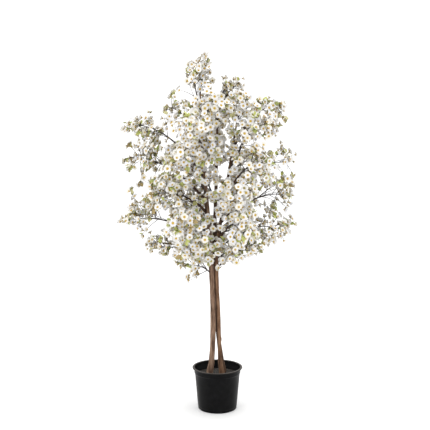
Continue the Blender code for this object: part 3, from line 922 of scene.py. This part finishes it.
def two_rings(sides, first, second, tip):
    """Points of two rings and a tip, and each side's place on its ring with the next one's."""
    points = ring(*first, sides) + ring(*second, sides) + [(0.0, 0.0, tip)]
    return np.array(points), [(side, (side + 1) % sides) for side in range(sides)]


def heart_dome():
    sides = HEART[0]
    points, pairs = two_rings(*HEART)
    faces = [(here, after, sides + here) for here, after in pairs]
    faces += [(after, sides + after, sides + here) for here, after in pairs]
    faces += [(sides + here, sides + after, 2 * sides) for here, after in pairs]
    return points, np.array(faces), 2


def calyx_cup():
    sides = CALYX[0]
    points, pairs = two_rings(*CALYX)
    faces = [(sides + here, sides + after, here) for here, after in pairs]
    faces += [(sides + after, after, here) for here, after in pairs]
    faces += [(2 * sides, sides + after, sides + here) for here, after in pairs]
    return points, np.array(faces), 4


def sepals():
    """Five pointed sepals between the petals, seen from behind."""
    points = []
    faces = []
    for step in range(PETALS):
        turn = 2 * math.pi * (step + 0.5) / PETALS
        for spread, reach, height in SEPAL_CORNERS:
            x = reach * math.cos(turn + spread)
            y = reach * math.sin(turn + spread)
            points.append((x, y, height))
        low = len(SEPAL_CORNERS) * step
        faces += [(low, low + 3, low + 2), (low + 3, low + 1, low + 2), (low, low + 1, low + 3)]
    return np.array(points), np.array(faces), 4


def leaf_template(curl):
    """A pointed oval leaf of length 1 along X, folded along its midrib and curled."""
    points = []
    for share, wide in LEAF_ROWS:
        for column in SHEET_COLUMNS:
            side = column * wide * LEAF_HALF_WIDTH
            height = abs(column) * wide * LEAF_FOLD - curl * share**2
            points.append((share - LEAF_TOOTH * abs(column), side, height))
    return np.array(points), sheet_faces(len(LEAF_ROWS), len(SHEET_COLUMNS))


def blossom_axes(item):
    across = sideways(item.facing, item.roll)
    return np.array([across, item.facing.cross(across), item.facing]) * item.size


def leaf_axes(item):
    facing = (item.facing - item.along * item.facing.dot(item.along)).normalized()
    return np.array([item.along, facing.cross(item.along), facing]) * item.size


def place_copies(heap, points, faces, slots, matrices, places):
    """Adds the template once for each matrix, its turned axes times its size, and place. slots
    is (copies, faces)."""
    moved = np.einsum("pk,ckj->cpj", points, np.array(matrices)) + places[:, None, :]
    offsets = (np.arange(len(places)) * len(points))[:, None, None]
    all_faces = (faces[None] + offsets).reshape(-1, faces.shape[1])
    heap.add(moved.reshape(-1, 3), all_faces, slots.ravel())


def by_shape(items, shapes):
    """For each shape that some items have: the shape, the items, their places and their tints."""
    for number, shape in enumerate(shapes):
        chosen = [item for item in items if item.shape == number]
        if chosen:
            places = np.array([tuple(item.place) for item in chosen])
            yield shape, chosen, places, np.array([[item.tint] for item in chosen])


def blossom_heap(blossoms):
    """All blossoms as one heap. Slots: 3 petal tints, throat, stamen, anther, calyx."""
    heap = Heap()
    for slopes, chosen, places, tints in by_shape(blossoms, BLOSSOM_SLOPES):
        matrices = [blossom_axes(item) for item in chosen]
        for points, faces, slot in blossom_template(slopes):
            kinds = np.broadcast_to(slot, (1, len(faces)))
            slots = np.where(kinds == 0, tints, kinds + 2)
            place_copies(heap, points, faces, slots, matrices, places)
    return heap


def leaf_heap(leaves):
    """All leaves as one heap, each with the slot of its tint."""
    heap = Heap()
    for curl, chosen, places, tints in by_shape(leaves, LEAF_CURLS):
        matrices = [leaf_axes(item) for item in chosen]
        points, faces = leaf_template(curl)
        slots = np.repeat(tints, len(faces), axis=1)
        place_copies(heap, points, faces, slots, matrices, places)
    return heap


def twig_heap(sprays):
    """All stems, twigs and stalks as one heap, a tint for each spray."""
    heap = Heap()
    for number, spray in enumerate(sprays):
        for line, radii, sides in spray.twigs:
            heap.add_tube(tube_points(line, radii, sides), sides, number % len(TWIG_TINTS))
    return heap


def bark_noise(turn, along, layer):
    """Smooth noise round and along a limb, the same at both ends of a full turn."""
    height, round_scale, along_scale, shift = layer
    around = (math.cos(turn) * round_scale, math.sin(turn) * round_scale)
    return height * noise.noise(Vector((*around, along * along_scale)) + Vector((shift, 0, 0)))


def bark_mesh(line, radii, sides, relief, knots=()):
    """A limb with bark: ridges, swells, grain, and knots at (distance, turn, size)."""
    heap = Heap()
    points = []
    lengths = [0.0]
    for before, after in zip(line, line[1:]):
        lengths.append(lengths[-1] + (after - before).length)
    plain = tube_points(line, [1.0] * len(line), sides)
    for place, centre in enumerate(line):
        along = lengths[place]
        for side, turn in enumerate(turns(sides)):
            out = plain[place * sides + side] - centre
            bark = sum(bark_noise(turn, along, layer) for layer in BARK_LAYERS)
            radius = radii[place] + relief * bark
            for at, knot_turn, size in knots:
                aside_by = radii[place] * math.sin((turn - knot_turn) / 2) * 2
                off = math.hypot(along - at, aside_by)
                radius += size * math.exp(-(off / (size * KNOT_SPREAD)) ** 2)
            points.append(centre + out * radius)
    heap.add_tube(points, sides, 0)
    return heap


def link(tree, source, output, target, name):
    tree.links.new(source.outputs[output], target.inputs[name])


def new_node(tree, kind, values):
    """A shader node with these values on its inputs."""
    node = tree.nodes.new("ShaderNode" + kind)
    set_inputs(node, values)
    return node


def ramp(tree, source, stops):
    """Colours for the values of a noise node."""
    node = new_node(tree, "ValToRGB", {})
    link(tree, source, "Fac", node, "Fac")
    elements = node.color_ramp.elements
    while len(elements) < len(stops):
        elements.new(0.5)
    for element, (place, colour) in zip(elements, stops):
        element.position = place
        element.color = (*colour, 1.0)
    return node


def noise_node(tree, upright_scale, scale, detail, roughness=0.55):
    """Noise in the object's own axes. It is stretched upwards where the upright scale is low."""
    place = new_node(tree, "TexCoord", {})
    mapping = new_node(tree, "Mapping", {"Scale": (1.0, 1.0, upright_scale)})
    link(tree, place, "Object", mapping, "Vector")
    values = {"Scale": scale, "Detail": detail, "Roughness": roughness}
    node = new_node(tree, "TexNoise", values)
    link(tree, mapping, "Vector", node, "Vector")
    return node


def mix_colours(tree, first, second, blend):
    """Mixes the colours of two nodes, in full where nothing else is linked to the factor."""
    node = new_node(tree, "Mix", {"Factor": 1.0})
    node.data_type = "RGBA"
    node.blend_type = blend
    link(tree, first, "Color", node, "A")
    link(tree, second, "Color", node, "B")
    return node


def bumped(tree, shader, height, strength, distance):
    bump = new_node(tree, "Bump", {"Strength": strength, "Distance": distance})
    link(tree, height, "Fac", bump, "Height")
    link(tree, bump, "Normal", shader, "Normal")


def bark_material(name, dark, middle, light):
    """Bark: long streaks of three browns, in lighter and darker patches."""
    material, tree, shader = node_material(name, 0.85, 0.25)
    streaks = noise_node(tree, 0.16, 90.0, 6.0, 0.65)
    browns = ramp(tree, streaks, ((0.34, dark), (0.50, middle), (0.68, light)))
    patches = noise_node(tree, 0.4, 14.0, 3.0)
    shade = ramp(tree, patches, ((0.30, (0.78, 0.74, 0.72)), (0.70, (1.15, 1.12, 1.08))))
    colour = mix_colours(tree, browns, shade, "MULTIPLY")
    link(tree, colour, "Result", shader, "Base Color")
    bumped(tree, shader, streaks, 0.6, 0.0012)
    return material


def pot_material():
    """Black plastic, a little hazy, with a painted highlight along the top of the lip."""
    material, tree, shader = node_material("pot_plastic", 0.5, 0.07)
    haze = noise_node(tree, 1.0, 40.0, 5.0)
    black = (0.35, (0.0022, 0.0022, 0.0024))
    grey = (0.75, (0.0060, 0.0060, 0.0063))
    tones = ramp(tree, haze, (black, grey))
    place = new_node(tree, "TexCoord", {})
    split = new_node(tree, "SeparateXYZ", {})
    link(tree, place, "Object", split, "Vector")
    # Painted highlight: a lighter grey mixed in by height towards the top of the lip
    highlight_range = {"From Min": POT_HEIGHT - RIM_HIGHLIGHT_HEIGHT, "From Max": POT_HEIGHT - RIM_HIGHLIGHT_FULL}
    highlight_mask = new_node(tree, "MapRange", highlight_range)
    link(tree, split, "Z", highlight_mask, "Value")
    painted_highlight = new_node(tree, "RGB", {})
    painted_highlight.outputs["Color"].default_value = (0.062, 0.054, 0.048, 1.0)
    colour = mix_colours(tree, tones, painted_highlight, "MIX")
    link(tree, highlight_mask, "Result", colour, "Factor")
    link(tree, colour, "Result", shader, "Base Color")
    gloss = new_node(tree, "MapRange", {"To Min": 0.30, "To Max": 0.48})
    link(tree, haze, "Fac", gloss, "Value")
    link(tree, gloss, "Result", shader, "Roughness")
    return material


def fill_material():
    """Cast fill with dark and sandy grit."""
    material, tree, shader = node_material("pot_fill", 0.95, 0.5)
    grit = noise_node(tree, 1.0, 160.0, 5.0, 0.7)
    dark = (0.38, (0.012, 0.011, 0.010))
    middle = (0.56, (0.055, 0.048, 0.040))
    sandy = (0.72, (0.22, 0.19, 0.16))
    tones = ramp(tree, grit, (dark, middle, sandy))
    link(tree, tones, "Color", shader, "Base Color")
    bumped(tree, shader, grit, 0.7, 0.002)
    return material


def arc(centre_out, centre_up, radius, first, last, steps):
    """Points of an arc in (distance from the axis, height), its turns in degrees."""
    turns = [math.radians(first + (last - first) * step / steps) for step in range(steps + 1)]
    return [
        (centre_out + radius * math.cos(turn), centre_up + radius * math.sin(turn))
        for turn in turns
    ]


def make_pot():
    """The pot, turned from one profile: up the outside, round the lip and down the inside."""
    _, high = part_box("pot")
    shoulder_height = high.z - POT_BAND_HEIGHT
    edge = POT_FOOT_EDGE
    profile = arc(POT_FOOT_RADIUS - edge, edge, edge, -90, 0, 4)
    step_radius = POT_FOOT_RADIUS + POT_FOOT_STEP
    profile.append((POT_FOOT_RADIUS, POT_FOOT_HEIGHT - POT_FOOT_STEP))
    profile.append((step_radius, POT_FOOT_HEIGHT))
    for share in (0.02, 0.25, 0.5, 0.75, 0.98):
        out = step_radius + (POT_SHOULDER_RADIUS - step_radius) * share
        profile.append((out, POT_FOOT_HEIGHT + (shoulder_height - POT_FOOT_HEIGHT) * share))
    edge = POT_BAND_EDGE
    profile += arc(POT_BAND_RADIUS - edge, shoulder_height + POT_BAND_RISE, edge, -60, 0, 3)
    roll = POT_LIP_ROLL
    for out, below in POT_LIP_FILLET:
        profile.append((POT_BAND_RADIUS + out, high.z - 2 * roll - below))
    profile += arc(high.x - roll, high.z - roll, roll, -110, 90, 10)
    edge = POT_INNER_EDGE
    profile += arc(POT_BAND_RADIUS + POT_LIP_INSET, high.z - edge, edge, 90, 180, 4)
    profile.append((POT_BAND_RADIUS - POT_WALL, shoulder_height + POT_BAND_RISE))
    profile.append((POT_SHOULDER_RADIUS - POT_WALL, shoulder_height))
    for share in (0.75, 0.5, 0.25, 0.0):
        out = POT_FOOT_RADIUS - POT_WALL + (POT_SHOULDER_RADIUS - POT_FOOT_RADIUS) * share
        profile.append((out, POT_WALL + (shoulder_height - POT_WALL) * share))
    points = []
    for out, up in profile:
        points += [(out * x, out * y, up) for x, y, _ in ring(1.0, 0.0, POT_SEGMENTS)]
    heap = Heap()
    heap.add_tube(points, POT_SEGMENTS, 0)
    pot = heap.build("nursery_pot", [pot_material()])
    pot.data.set_sharp_from_angle(angle=POT_SHARP_ANGLE)
    finish_piece(pot, ["pot"])


def make_fill():
    """The fill: a rough top and a side that narrows towards the pot's floor."""
    low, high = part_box("fill")
    top = high.z - FILL_SINK
    radius = high.x - FILL_GAP
    points = []
    for step in range(FILL_RINGS + 1):
        out = radius * step / FILL_RINGS
        for x, y, _ in ring(1.0, 0.0, FILL_SEGMENTS):
            place = Vector((out * x, out * y, 0.0))
            rough = sum(height * noise.noise(place * scale) for height, scale in FILL_LUMPS)
            points.append((place.x, place.y, top + rough))
    heap = Heap()
    heap.add(points, tube_faces(FILL_RINGS + 1, FILL_SEGMENTS)[:, ::-1], 0)
    side = ring(radius, top, FILL_SEGMENTS) + ring(FILL_BASE_RADIUS, low.z, FILL_SEGMENTS)
    heap.add(side, tube_faces(2, FILL_SEGMENTS)[:, ::-1], 0)
    heap.faces.append(np.arange(heap.count - 1, heap.count - FILL_SEGMENTS - 1, -1)[None])
    heap.slots.append(np.zeros(1, int))
    fill = heap.build("cast_fill", [fill_material()])
    finish_piece(fill, ["fill"])


def finish_piece(piece, nodes):
    """Attaches a piece to the body it moves with and hides the solids it stands for."""
    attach(piece, "root")
    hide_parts(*nodes)


def make_poles():
    for name in POLES:
        heights = POLES[name][0]
        levels = tapering(heights[0], heights[-1], POLE_STEPS)
        line = [pole_centre(name, height) for height in levels]
        radii = [pole_radius(name, point.z) for point in line]
        heap = bark_mesh(line, radii, POLE_SIDES, POLE_RELIEF, POLE_KNOTS[name])
        bark = bark_material(name + "_bark", *POLE_BROWNS[name])
        made = heap.build("pole" + name.removeprefix("stem"), [bark])
        finish_piece(made, [name])


def make_boughs(paths):
    bark = bark_material("bough_bark", *BOUGH_BROWNS)
    for path in paths:
        if path.carrier != "bough":
            continue
        line = curve(path.start, path.bend, path.tip, BOUGH_STEPS, 0.0, BOUGH_SHARE)
        radius = THICK_BOUGH_RADIUS if path.name == THICK_BOUGH else BOUGH_RADIUS
        radii = tapering(radius, STEM.radius, BOUGH_STEPS)
        heap = bark_mesh(line, radii, BOUGH_SIDES, BOUGH_RELIEF)
        made = heap.build("limb_" + path.name, [bark])
        finish_piece(made, ["bough_" + path.name])


def tinted(colours, roughness, sheen=0.0, specular=0.5):
    return [plain_material(name, colours[name], roughness, sheen, specular) for name in colours]


def blossom_materials():
    """In the order of the slots of blossom_heap."""
    throat = plain_material("petal_throat", (0.62, 0.46, 0.15), 0.75, 0.1, 0.3)
    return tinted(PETAL_TINTS, 0.75, 0.15, 0.3) + [throat] + tinted(HEART_TINTS, 0.6) + [
        plain_material("calyx_brown", (0.16, 0.13, 0.05), 0.7)
    ]


def grow_crown(paths):
    spines = [spine_of(path) for path in paths]
    crown = Crown(spines)
    sprays = [Spray(number, crown) for number in range(len(paths))]
    for spray, path, spine in zip(sprays, paths, spines):
        spray.grow(spine, path.bare)
    grow_named_tips(sprays, spines, crown)
    return sprays


def make_crown(paths):
    """Grows all sprays and joins their blossoms, leaves and twigs by groups of tiers."""
    sprays = grow_crown(paths)
    petals_and_hearts = blossom_materials()
    greens = tinted(LEAF_TINTS, 0.6, 0.1)
    browns = tinted(TWIG_TINTS, 0.6)
    for group, (first, last) in TIER_GROUPS.items():
        places = [place for place, path in enumerate(paths) if first <= path.tier <= last]
        nodes = ["spray_" + paths[place].name for place in places]
        chosen = [sprays[place] for place in places]
        blossoms = [item for spray in chosen for item in spray.blossoms]
        leaves = [item for spray in chosen for item in spray.leaves]
        kinds = (
            ("blossoms_", blossom_heap(blossoms), petals_and_hearts),
            ("leaves_", leaf_heap(leaves), greens),
            ("twigs_", twig_heap(chosen), browns),
        )
        for kind, heap, materials in kinds:
            finish_piece(heap.build(kind + group, materials), nodes)


def make_floor():
    half = FLOOR_HALF_SIZE
    heap = Heap()
    corners = [(-half, -half, 0), (half, -half, 0), (half, half, 0), (-half, half, 0)]
    heap.add(corners, [(0, 1, 2, 3)], 0)
    white = plain_material("floor_white", (0.97, 0.97, 0.97), 0.9, 0.0, 0.1)
    floor = heap.build("floor", [white])
    floor.location.z = -FLOOR_SINK


def make_surroundings():
    world = bpy.data.worlds.new("studio")
    world.use_nodes = True
    background = world.node_tree.nodes["Background"]
    set_inputs(background, {"Color": (1.0, 1.0, 1.0, 1.0), "Strength": SURROUNDINGS})
    bpy.context.scene.world = world


def make_lights():
    for name, place, size, power in LIGHTS:
        light = bpy.data.lights.new(name, "AREA")
        light.shape = "SQUARE"
        light.size = size
        light.energy = power
        lamp = new_object(name, light)
        lamp.location = place
        towards = LIGHT_TARGET - Vector(place)
        lamp.rotation_euler = towards.to_track_quat("-Z", "Y").to_euler()


def make_camera():
    lens = bpy.data.cameras.new("camera")
    lens.lens = CAMERA_LENS
    lens.clip_end = 100.0
    camera = new_object("camera", lens)
    camera.location = CAMERA_PLACE
    camera.rotation_euler = (math.pi / 2 - CAMERA_PITCH, 0.0, 0.0)
    bpy.context.scene.camera = camera
    bpy.context.scene.view_settings.view_transform = "Standard"


make_floor()
make_surroundings()
make_lights()
make_camera()
make_pot()
make_fill()
make_poles()
paths = spray_paths()
make_boughs(paths)
make_crown(paths)
